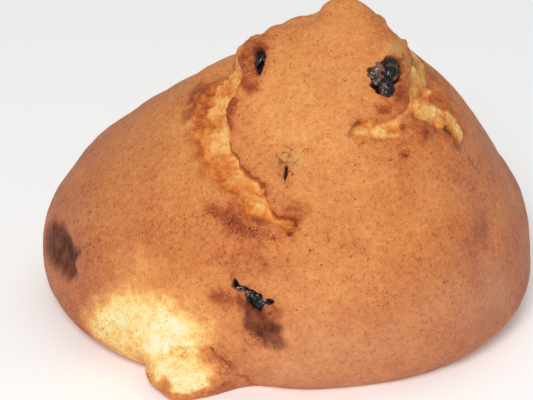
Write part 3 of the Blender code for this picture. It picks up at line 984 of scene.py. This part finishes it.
    def ramp(self, tree: Any, stops: tuple, level: Any) -> Any:
        """A colour ramp.

        Args:
            tree: The node tree.
            stops: Pairs of position and sRGB hex value.
            level: What drives the ramp.

        Returns:
            The ramp's colour socket.
        """
        colour = add_node(tree, "ValToRGB", {"Fac": level})
        marks = colour.node.color_ramp.elements
        while len(marks) < len(stops):
            marks.new(0.5)
        for mark, (position, code) in zip(marks, stops):
            mark.position = position
            mark.color = srgb(code)
        return colour


@dataclass(frozen=True)
class RaisinFinish:
    """Dried grape skin: nearly black, folded and glossy, browner where it is thin, with a painted pinkish
    highlight there.
    """

    skin: str = "#120c0d"
    # Pinkish brown of the thin skin, partly a painted highlight
    thin: str = "#8e5c4a"
    roughness: float = 0.28

    def material(self) -> bpy.types.Material:
        """Build the raisins' material.

        Returns:
            The material.
        """
        made, tree, surface = new_material("Raisin skin")
        place = add_node(tree, "TexCoord", out="Object")
        lobe = add_node(tree, "Attribute", out="Fac", attribute_name="thin")
        inputs = {0: lobe, 1: 0.17, 2: clouds(tree, place, 2.6, 2, 0.5)}
        tone = add_node(tree, "Math", inputs, operation="MULTIPLY_ADD")
        thin = add_node(tree, "MapRange", {"Value": tone, 1: 0.57, 2: 0.70})
        # Pinkish brown where the skin is thin, partly a painted highlight
        inputs = {"Factor": thin, 6: srgb(self.skin), 7: srgb(self.thin)}
        wrinkle = clouds(tree, place, 0.6, 3, 0.5)
        wire(surface, {
            "Base Color": add_node(tree, "Mix", inputs, 2, data_type="RGBA"),
            "Normal": add_node(tree, "Bump", {"Height": wrinkle, "Strength": 0.4, "Distance": 0.15 * MM}),
            "Roughness": self.roughness,
            "Specular IOR Level": 0.6,
        })
        return made


@dataclass(frozen=True)
class GrainFinish:
    """Loose crumb: small dull grains of torn, lightly toasted bread."""

    name: str
    colour: str
    roughness: float = 0.85

    def material(self) -> bpy.types.Material:
        """Build the grains' material.

        Returns:
            The material.
        """
        made, tree, surface = new_material(self.name)
        tone = clouds(tree, add_node(tree, "TexCoord", out="Object"), 1.8, 2, 0.5)
        shade = add_node(tree, "MapRange", {"Value": tone, 1: 0.3, 2: 0.7, 3: 0.75, 4: 1.15})
        colour = add_node(tree, "HueSaturation", {"Value": shade, "Color": srgb(self.colour)})
        wire(surface, {"Base Color": colour, "Roughness": self.roughness})
        return made


# ---------------------------------------------------------------------------------------------
# The bun
# ---------------------------------------------------------------------------------------------
@dataclass
class Crust:
    """The bun itself, as one closed mesh.

    points and normals are the blank's, one a row, height is the relief along the normals in
    millimetres, and masks holds what the finish reads. All are worked out in build.
    """

    subdivisions: int = 7
    finer_reaches: tuple = (2, 0.5)
    even_bake: float = 0.50
    even_toast: float = 0.48
    dark_bake: float = 0.66
    masks: dict[str, Array] = field(default_factory=dict)
    points: Array = field(init=False)
    normals: Array = field(init=False)
    height: Array = field(init=False)

    def build(self) -> bpy.types.Object:
        """Shape the bun and keep its masks.

        Returns:
            The bun, at the origin.
        """
        bm = bmesh.new()
        bmesh.ops.create_icosphere(bm, subdivisions=self.subdivisions, radius=1)
        for reach in self.finer_reaches:
            self.refine(bm, reach)
        self.points = DOME.blank(self.positions(bm))
        self.move(bm, self.points)
        self.normals = np.array([vert.normal for vert in bm.verts])
        self.shape()
        fade = smooth(0, 4 * MM, self.points[:, 2])
        self.move(bm, self.points + self.normals * (self.height * MM * fade)[:, None])
        return make_object("bun_crust", bm, CrustFinish().material(), self.masks)

    def positions(self, bm: bmesh.types.BMesh) -> Array:
        """The mesh's vertex places, one a row."""
        return np.array([vert.co for vert in bm.verts])

    def move(self, bm: bmesh.types.BMesh, points: Array) -> None:
        """Put the vertices at new places."""
        for vert, point in zip(bm.verts, points):
            vert.co = point
        bm.normal_update()

    def refine(self, bm: bmesh.types.BMesh, reach: float) -> None:
        """Halve the triangles in and near the splits, raisins and other sharp forms.

        Args:
            bm: A round mesh of unit directions.
            reach: How far beyond a form the finer triangles go, in millimetres.
        """
        bm.verts.ensure_lookup_table()
        points = DOME.blank(self.positions(bm))
        outwards = points / np.maximum(np.linalg.norm(points, axis=1), 1e-9)[:, None]
        fine = np.zeros(len(points), bool)
        for split in SPLITS:
            fine |= split.read(points, outwards)[0] > -reach - 0.4
        for patch in POCKETS:
            fine |= patch.inside(points) > -reach
        for patch in TOASTED[:2] + STAINS[1:3]:
            fine |= np.abs(patch.inside(points)) < reach
        if reach > 1:
            for spot in ROUGH:
                fine |= spot.share(points) > 0
        for crease in CREASES:
            fine |= crease.away(points, outwards) < reach
        edges = [e for e in bm.edges if fine[e.verts[0].index] or fine[e.verts[1].index]]
        bmesh.ops.subdivide_edges(bm, edges=edges, cuts=1, use_grid_fill=True)
        bmesh.ops.triangulate(bm, faces=[face for face in bm.faces if len(face.verts) > 3])
        for vert in bm.verts:
            vert.co.normalize()
        bm.verts.index_update()

    def cover(self, mask: str, share: Array) -> None:
        """Raise a mask to a share, where it is less."""
        self.masks[mask] = np.maximum(self.masks[mask], share)

    def shape(self) -> None:
        """Work out all relief of the crust, and the masks for its finish."""
        points, masks = self.points, self.masks
        self.height = hills(points, (0.30, 11, 1), (0.16, 4.6, 2), (0.07, 2.1, 3), (0.03, 1.2, 4))
        for name in ("crumb", "stretch", "crackle", "stain", "hollow"):
            masks[name] = np.zeros(len(points))
        masks["bake"] = self.even_bake + hills(points, (0.03, 14, 6)) + self.tone()
        masks["toast"] = self.even_toast + hills(points, (0.30, 2.8, 5))
        blotches = hills(points, (0.45, 1.5, 15), (0.3, 0.7, 16))
        for spot in MOUNDS + TOASTED + PALE + STAINS:
            share = spot.share(points)
            self.height += spot.lift * share
            masks["bake"] += spot.bake * share * (1 + (1.2 if spot.bake > 0 else 0.3) * blotches)
            masks["toast"] += spot.bake * share
            self.cover("stain", spot.stain * share)
        masks["stain"] *= 1 + 0.5 * blotches
        bumps = hills(points, (1, 1.3, 26), (0.6, 0.65, 27))
        for spot in ROUGH:
            self.height += spot.lift * bumps * spot.share(points)
        self.bake_foot()
        for crease in CREASES:
            share = crease.share(points, self.normals)
            self.height -= crease.depth * share
            masks["bake"] += crease.bake * share
        for spot in DRIED:
            self.cover("stretch", spot.bake * spot.share(points))
        for spot in CRACKLED:
            self.cover("crackle", spot.share(points))
        for split in SPLITS:
            self.tear(split)
        for patch in POCKETS:
            self.pierce(patch)
        # Painted sheen and painted reflection, kept off the palest dough
        masks["painted_sheen"] = self.painted_sheen() * smooth(0.1, 0.45, masks["bake"])
        over = np.maximum(masks["bake"] - self.dark_bake, 0)
        masks["bake"] -= over - 0.2 * (1 - np.exp(-over / 0.2))
        masks["grainy"] = smooth(0.9, 1, masks["crumb"]) * (1 - smooth(0.3, 0.6, masks["toast"]))

    def tone(self) -> Array:
        """How the crust's tone varies: darker at its base and low down, with painted shade darkening its
        left and right flanks and painted light paling its cap.
        """
        x, z = self.points[:, 0], self.points[:, 2]
        flank = smooth(0.1, 0.8, np.abs(self.normals[:, 0]))
        right, left = smooth(-10 * MM, 40 * MM, x), smooth(12 * MM, 40 * MM, -x)
        base, low = 1 - smooth(0, 3 * MM, z), 1 - smooth(4 * MM, 34 * MM, z)
        # Painted shade on the flanks that turn from the light, and painted light on the cap
        flanks = 0.08 * flank + 0.05 * right + 0.04 * left
        return flanks - 0.06 * smooth(30 * MM, 50 * MM, z) + 0.05 * base + 0.08 * low

    def painted_sheen(self) -> Array:
        """How much painted sheen pales the crust: painted reflection of the white surroundings low on the
        front, and painted sheen on both flanks.
        """
        x, z = self.points[:, 0], self.points[:, 2]
        low = 1 - smooth(9 * MM, 30 * MM, z)
        front = smooth(-22 * MM, 4 * MM, x) * smooth(0, 0.7, -self.normals[:, 1])
        flank = smooth(0.3, 0.9, np.abs(self.normals[:, 0])) * smooth(0, 16 * MM, z)
        flank *= 1 - smooth(36 * MM, 43 * MM, z)
        return np.clip(0.21 * low * front + 0.18 * flank, 0, 1) * (1 + hills(self.points, (0.4, 6, 30)))

    def bake_foot(self) -> None:
        """Bake the foot: pale on top, toasted along its lower rim and at its right end."""
        bearing = np.degrees(np.arctan2(self.points[:, 1], self.points[:, 0]))
        rise = self.points[:, 2] / MM
        foot = smooth(0.1, 0.4, DOME.foot(bearing)) * (1 - smooth(5, 8, rise))
        uneven = hills(self.points, (1, 2.2, 28), (0.6, 0.9, 29))
        left = 1 - smooth(-121, -115, bearing)
        rim = 1 - smooth(1.8, 3.6, rise - 1.2 * left + 0.9 * uneven)
        right = smooth(-112.5, -106.5, bearing + 2 * uneven)
        wanted = 0.02 + 0.52 * rim + 0.57 * right * (1 - 0.5 * rim)
        self.masks["bake"] += foot * (wanted - self.masks["bake"])
        self.height += foot * (0.25 * uneven - 0.3 * rim)

    def tear(self, split: Split) -> None:
        """Open a split: its torn floor, the high lip on its burst side and the ridge opposite, with a
        painted shadow line along the burst edge and painted shade in the crumb's hollows.
        """
        points, masks = self.points, self.masks
        depth_in, burst, share, full = split.read(points, self.normals)
        rise = points[:, 2] / MM
        high = smooth(split.wall_top - 3, split.wall_top, rise)
        wall = 0.2 + (split.wall - 0.2) * high
        beyond = np.maximum(-depth_in, 0)
        lip = (split.rise[0] + (split.rise[1] - split.rise[0]) * high) * bell(beyond, 7)
        lip *= smooth(-0.2, wall, -depth_in)
        ridge = split.ridge * bell(beyond, 2.2) * smooth(-0.2, 0.5, -depth_in)

        lumps = hills(points, (0.36, 2.5, 7), (0.24, 1.15, 8), (0.20, 0.55, 9)) - 0.25
        lumps += 0.30 * smooth(0, 0.4, np.abs(hills(points, (1, 1.7, 10))))
        bottom = -split.depth * (0.5 + 0.8 * share**2) + split.lumps * lumps
        floor = smooth(-0.2, 0.3, depth_in)
        self.height += full * (floor * bottom + np.where(burst, lip, ridge))

        crisp = smooth(-split.burst_blur, split.burst_blur, depth_in)
        blurred = smooth(-split.blur - 0.2, split.blur, depth_in)
        crumb = full * np.where(burst, crisp, blurred)
        self.cover("crumb", crumb)
        # Crumb is painted paler on the tops of its lumps and darker in the hollows between them: painted
        # light and shade
        masks["toast"] += crumb * (split.toast - 0.25 * (lumps + 0.1))
        if split.torn is Torn.CRUMB:
            masks["toast"] += crumb * (0.30 * smooth(0.55, 0, share) - 0.10 * smooth(0.5, 0.9, share))
        if split.torn is Torn.STRETCHED:
            self.cover("stretch", 0.5 * crumb * smooth(46.2, 48, rise))
        broken = smooth(-0.5, 0.2, hills(points, (1, 2, 17)))
        # A painted shadow line along the burst edge, below its lip, darkens the bake and toast
        line = bell(depth_in, 0.36) * burst * (1 - high) * full * broken * split.shadow
        masks["bake"] += 0.30 * line * (1 - crumb) + (0.08 + 0.06 * broken) * bell(beyond, 1.3) * full
        masks["toast"] += 0.5 * line

    def pierce(self, patch: Patch) -> None:
        """Sink a hole with the patch's outline, with the crust drawn up round it and painted shade inside
        it.
        """
        share = patch.share(self.points)
        beyond = np.maximum(-patch.inside(self.points), 0)
        collar = (1 - share) * bell(beyond - 0.4, 0.6)
        # The hollow mask paints the hole near-black: painted shade
        self.cover("hollow", share)
        self.masks["bake"] += 0.08 * collar
        self.height += 0.25 * collar - (self.height + patch.hollow) * share


@dataclass
class RaisinPiece:
    """One raisin: a wrinkled skin in its pocket."""

    raisin: Raisin
    finish: bpy.types.Material

    def build(self) -> bpy.types.Object:
        """Fold the raisin's skin and put it in its pocket.

        Returns:
            The raisin, at the origin.
        """
        raisin, seed = self.raisin, self.raisin.seed
        bm = bmesh.new()
        bmesh.ops.create_icosphere(bm, subdivisions=6, radius=1)
        directions = np.array([vert.co for vert in bm.verts])
        reach = np.full(len(directions), 0.45)
        thin = np.zeros(len(directions))
        for *centre, radius in raisin.lobes:
            towards = directions @ np.array(centre)
            square = towards**2 - np.dot(centre, centre) + radius**2
            out_of_lobe = np.where(square > 0, towards + np.sqrt(np.maximum(square, 0)), 0)
            # The lobe whose skin is painted pinkish brown, partly as a painted highlight
            if radius == raisin.thin:
                thin = smooth(-0.02, 0.12, out_of_lobe - reach)
            reach = np.maximum(reach, out_of_lobe)
        real = directions * reach[:, None] * np.array(raisin.half)
        warp = np.stack([value_noise(real, 1.5, seed + k) for k in (1, 2, 3)], axis=1)
        folds = 1 - np.abs(value_noise(real + 0.5 * warp, 1.6, seed + 4))
        creases = 1 - np.abs(value_noise(real + 0.5 * warp, 0.8, seed + 5))
        scale = 1.10 - 0.26 * folds**4 - 0.10 * creases**5 + 0.05 * value_noise(real, 1.2, seed + 6)
        axes = DOME.axes(raisin.bearing, raisin.height, raisin.turn)
        middle = DOME.place(raisin.bearing, raisin.height) - axes[2] * raisin.sunk * MM
        for vert, point in zip(bm.verts, middle + (real * scale[:, None] * MM) @ np.stack(axes)):
            vert.co = point
        return make_object(raisin.name + "_skin", bm, self.finish, {"thin": thin})


@dataclass
class Grains:
    """Grains scattered over the crust by Geometry Nodes, where a mask says so."""

    name: str
    mask: str
    finish: bpy.types.Material
    grain_size: float
    per_square_mm: float
    seed: int
    flatness: float = 0.7

    def tree(self) -> bpy.types.GeometryNodeTree:
        """Build the node tree that scatters the grains.

        Returns:
            The tree, with its grain size, density and seed as named inputs.
        """
        tree = bpy.data.node_groups.new(self.name, "GeometryNodeTree")
        for name, way, kind in (
            ("Crust", "INPUT", "Geometry"),
            ("Grain size", "INPUT", "Float"),
            ("Grains per square metre", "INPUT", "Float"),
            ("Seed", "INPUT", "Int"),
            ("Grains", "OUTPUT", "Geometry"),
        ):
            tree.interface.new_socket(name, in_out=way, socket_type="NodeSocket" + kind)
        given = add_node(tree, "NodeGroupInput").node.outputs
        seed = given["Seed"]
        inputs = {"Name": self.mask}
        mask = add_node(tree, "GeometryNodeInputNamedAttribute", inputs, "Attribute", data_type="FLOAT")
        inputs = {0: mask, 1: given["Grains per square metre"]}
        density = add_node(tree, "Math", inputs, operation="MULTIPLY")
        inputs = {"Mesh": given["Crust"], "Density": density, "Seed": seed}
        scatter = add_node(tree, "GeometryNodeDistributePointsOnFaces", inputs, "Points")
        inputs = {2: 0.4, 3: 1, "Seed": seed}
        size = add_node(tree, "FunctionNodeRandomValue", inputs, 1, data_type="FLOAT")
        size = add_node(tree, "Math", {0: size, 1: given["Grain size"]}, operation="MULTIPLY")
        shape = add_node(tree, "CombineXYZ", {0: size, 1: size, 2: size})
        inputs = {0: (0.6, 0.6, self.flatness * 0.6), 1: (1.2, 1.2, self.flatness), "Seed": seed}
        spread = add_node(tree, "FunctionNodeRandomValue", inputs, data_type="FLOAT_VECTOR")
        inputs = {
            "Points": scatter,
            "Instance": add_node(tree, "GeometryNodeMeshIcoSphere", {"Radius": 0.5, "Subdivisions": 2}),
            "Rotation": scatter.node.outputs["Rotation"],
            "Scale": add_node(tree, "VectorMath", {0: shape, 1: spread}, operation="MULTIPLY"),
        }
        placed = add_node(tree, "GeometryNodeInstanceOnPoints", inputs)
        real = add_node(tree, "GeometryNodeRealizeInstances", {"Geometry": placed})
        inputs = {"Geometry": real, "Material": self.finish}
        add_node(tree, "NodeGroupOutput", {"Grains": add_node(tree, "GeometryNodeSetMaterial", inputs)})
        return tree

    def build(self, crust: bpy.types.Object) -> bpy.types.Object:
        """Scatter the grains over the crust as plain mesh.

        Args:
            crust: The bun, with the mask as an attribute.

        Returns:
            The grains, at the origin.
        """
        base = bpy.data.objects.new(self.name, crust.data.copy())
        bpy.context.scene.collection.objects.link(base)
        scatter = base.modifiers.new("Scatter", "NODES")
        scatter.node_group = self.tree()
        values = {
            "Grain size": self.grain_size * MM,
            "Grains per square metre": self.per_square_mm / MM**2,
            "Seed": self.seed,
        }
        for item in scatter.node_group.interface.items_tree:
            if item.name in values:
                scatter[item.identifier] = values[item.name]
        bpy.context.view_layer.update()
        graph = bpy.context.evaluated_depsgraph_get()
        mesh = bpy.data.meshes.new_from_object(base.evaluated_get(graph))
        base.modifiers.clear()
        base.data = mesh
        mesh.shade_smooth()
        return base


# ---------------------------------------------------------------------------------------------
# The studio
# ---------------------------------------------------------------------------------------------
@dataclass(frozen=True)
class Studio:
    """A pale floor, soft light and the camera."""

    target: tuple = (-0.0040, -0.0033, 0.0218)
    elevation: float = 28
    distance: float = 0.553
    lens: float = 200
    floor_glow: float = 0.18
    sky_strength: float = 0.22

    def floor(self) -> None:
        """Lay the floor."""
        bm = bmesh.new()
        bmesh.ops.create_grid(bm, x_segments=1, y_segments=1, size=4)
        paper, _, surface = new_material("Matt white paper")
        wire(surface, {
            "Base Color": srgb("#f9f9f8"),
            "Roughness": 0.9,
            "Emission Color": srgb("#ffffff"),
            "Emission Strength": self.floor_glow,
        })
        make_object("studio_floor", bm, paper)

    def lamp(self, name: str, place: tuple, size: float, power: float) -> None:
        """Hang a soft square lamp that faces the bun.

        Args:
            name: The lamp's name.
            place: Where it hangs.
            size: How wide it is.
            power: Its power in watts.
        """
        light = bpy.data.lights.new(name, "AREA")
        light.size = size
        light.energy = power
        made = bpy.data.objects.new(name, light)
        made.location = place
        aim = Vector((0, 0, 0.03)) - Vector(place)
        made.rotation_euler = aim.to_track_quat("-Z", "Y").to_euler()
        bpy.context.scene.collection.objects.link(made)

    def build(self) -> None:
        """Set up the floor, the lamps, the surroundings and the camera."""
        self.floor()
        self.lamp("key_lamp", (-0.14, -0.74, 0.72), 0.35, 6.6)
        self.lamp("top_lamp", (0.25, 0.25, 1.1), 0.9, 2.6)
        world = bpy.data.worlds.new("White surroundings")
        world.use_nodes = True
        sky = world.node_tree.nodes["Background"]
        wire(sky, {"Color": srgb("#ffffff"), "Strength": self.sky_strength})
        bpy.context.scene.world = world
        bpy.context.scene.view_settings.view_transform = "Standard"

        lens = bpy.data.cameras.new("camera")
        lens.lens = self.lens
        lens.sensor_width = 36
        lens.clip_end = 10
        camera = bpy.data.objects.new("camera", lens)
        tilt = np.radians(self.elevation)
        back = Vector((0, -np.cos(tilt), np.sin(tilt)))
        camera.location = Vector(self.target) + back * self.distance
        camera.rotation_euler = (np.pi / 2 - tilt, 0, 0)
        bpy.context.scene.collection.objects.link(camera)
        bpy.context.scene.camera = camera


def declare(piece: bpy.types.Object, node: str | None = None) -> None:
    """Tell the frame what a piece is.

    Args:
        piece: The piece, finished.
        node: The node that it stands for, if any.
    """
    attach(piece, "root")
    if node:
        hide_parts(node)
    log.info("%s: %d faces", piece.name, len(piece.data.polygons))


def main() -> None:
    """Build the bun, its raisins and crumb, and the studio."""
    logging.basicConfig(level=logging.INFO, format="%(name)s: %(message)s")
    Studio().build()
    crust = Crust().build()
    declare(crust, "bun")
    skin = RaisinFinish().material()
    for raisin in RAISINS:
        declare(RaisinPiece(raisin, skin).build(), raisin.name)
    loose = GrainFinish("Torn bun crumb", "#f0bd72").material()
    crumbs = Grains("crumb_grains", "grainy", loose, 0.42, 1.2, 4)
    declare(crumbs.build(crust))


if __name__ == "__main__":
    main()
